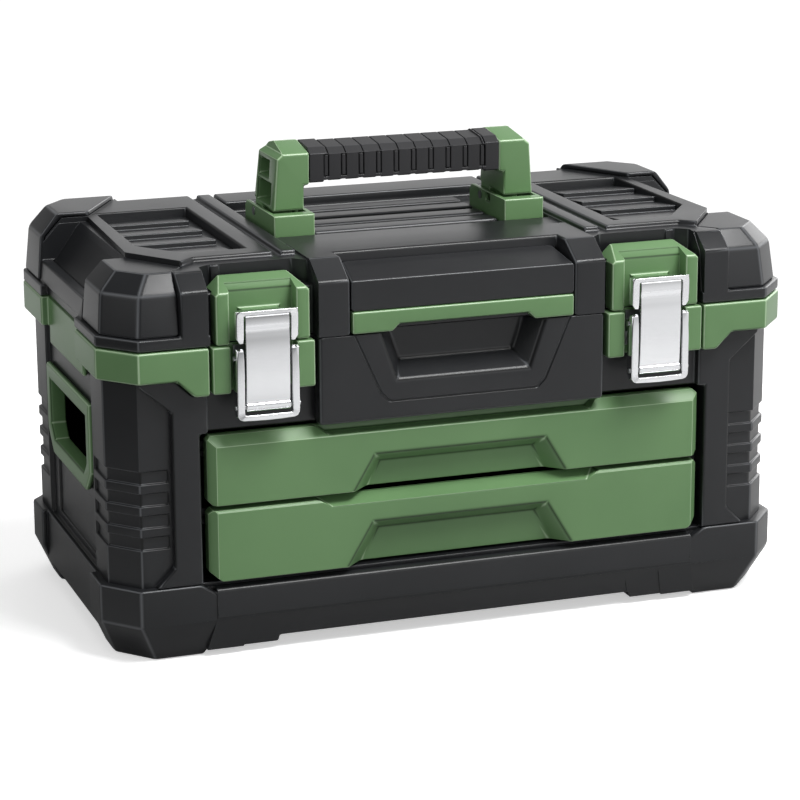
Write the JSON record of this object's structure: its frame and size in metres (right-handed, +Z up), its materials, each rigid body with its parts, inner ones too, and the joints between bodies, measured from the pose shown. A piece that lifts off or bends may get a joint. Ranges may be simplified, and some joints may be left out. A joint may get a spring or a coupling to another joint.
{
  "type": "plastic tool box",
  "caption": "Hinged-lid plastic tool box with two shallow drawers in front, draw latches, a folding top handle and hand holes in both ends.",
  "frame": {"origin": "on the ground, at the middle of the box's footprint", "axes": "+X along the length to the right, the front with the latches looks to -Y, +Z up"},
  "size_m": [0.508, 0.3, 0.333],
  "materials": {
    "charcoal_plastic": "fine moulded grain",
    "green_plastic": "satin moulded",
    "bright_chrome": "bright plated pressings",
    "zinc_steel": "zinc plated",
    "black_rubber": "soft ribbed grip",
    "tray_plastic": "plain moulded"
  },
  "bodies": {
    "case": {"base_tray": "charcoal_plastic", "body_shell": "charcoal_plastic", "front_panel": "charcoal_plastic", "latch_rivets": "zinc_steel", "latch_pivot_pins": "zinc_steel", "hinge_pins": "zinc_steel", "rim_band_left": "green_plastic", "rim_band_right": "green_plastic", "side_grip_left": "green_plastic", "side_grip_right": "green_plastic", "latch_housing_left": "green_plastic", "latch_housing_right": "green_plastic", "latch_base_left": "zinc_steel", "latch_base_right": "zinc_steel", "drawer_runner_left": "tray_plastic", "drawer_runner_right": "tray_plastic"},
    "lid": {"lid_shell": "charcoal_plastic", "lid_front_panel": "charcoal_plastic", "pull_strip": "green_plastic", "handle_pins": "zinc_steel", "bracket_screws": "zinc_steel", "lid_cap_front_left": "charcoal_plastic", "lid_cap_front_right": "charcoal_plastic", "lid_cap_rear_left": "charcoal_plastic", "lid_cap_rear_right": "charcoal_plastic", "lid_grille_left": "charcoal_plastic", "lid_grille_right": "charcoal_plastic", "latch_keeper_left": "green_plastic", "latch_keeper_right": "green_plastic", "handle_bracket_left": "green_plastic", "handle_bracket_right": "green_plastic"},
    "handle": {"handle_core": "tray_plastic", "handle_grip": "black_rubber", "handle_arm_left": "green_plastic", "handle_arm_right": "green_plastic"},
    "upper_drawer": {"upper_drawer_front": "green_plastic", "upper_drawer_tray": "tray_plastic"},
    "lower_drawer": {"lower_drawer_front": "green_plastic", "lower_drawer_tray": "tray_plastic"},
    "left_lever": {"latch_lever_left": "bright_chrome", "link_pin_left": "zinc_steel"},
    "right_lever": {"latch_lever_right": "bright_chrome", "link_pin_right": "zinc_steel"},
    "left_hook": {"latch_hook_left": "bright_chrome"},
    "right_hook": {"latch_hook_right": "bright_chrome"}
  },
  "joints": [
    {"name": "lid_hinge", "type": "hinge", "parent": "case", "child": "lid", "pos_m": [0, 0.145, 0.223], "axis": [-1, 0, 0], "range_deg": [0, 100]},
    {"name": "handle_fold", "type": "hinge", "parent": "lid", "child": "handle", "pos_m": [0, 0.018, 0.281], "axis": [-1, 0, 0], "range_deg": [0, 90]},
    {"name": "upper_drawer_slide", "type": "slide", "parent": "case", "child": "upper_drawer", "axis": [0, -1, 0], "range_m": [0, 0.19]},
    {"name": "lower_drawer_slide", "type": "slide", "parent": "case", "child": "lower_drawer", "axis": [0, -1, 0], "range_m": [0, 0.19]},
    {"name": "left_latch_lever", "type": "hinge", "parent": "case", "child": "left_lever", "pos_m": [-0.1435, -0.143, 0.2145], "axis": [-1, 0, 0], "range_deg": [-3.2, 105]},
    {"name": "left_latch_hook", "type": "hinge", "parent": "left_lever", "child": "left_hook", "pos_m": [-0.1435, -0.1463, 0.181], "axis": [-1, 0, 0], "range_deg": [-105, 3.2]},
    {"name": "right_latch_lever", "type": "hinge", "parent": "case", "child": "right_lever", "pos_m": [0.1435, -0.143, 0.2145], "axis": [-1, 0, 0], "range_deg": [-3.2, 105]},
    {"name": "right_latch_hook", "type": "hinge", "parent": "right_lever", "child": "right_hook", "pos_m": [0.1435, -0.1463, 0.181], "axis": [-1, 0, 0], "range_deg": [-105, 3.2]}
  ],
  "couplings": [
    {"joint": "left_latch_hook", "follows": "left_latch_lever", "ratio": -1},
    {"joint": "right_latch_hook", "follows": "right_latch_lever", "ratio": -1}
  ]
}
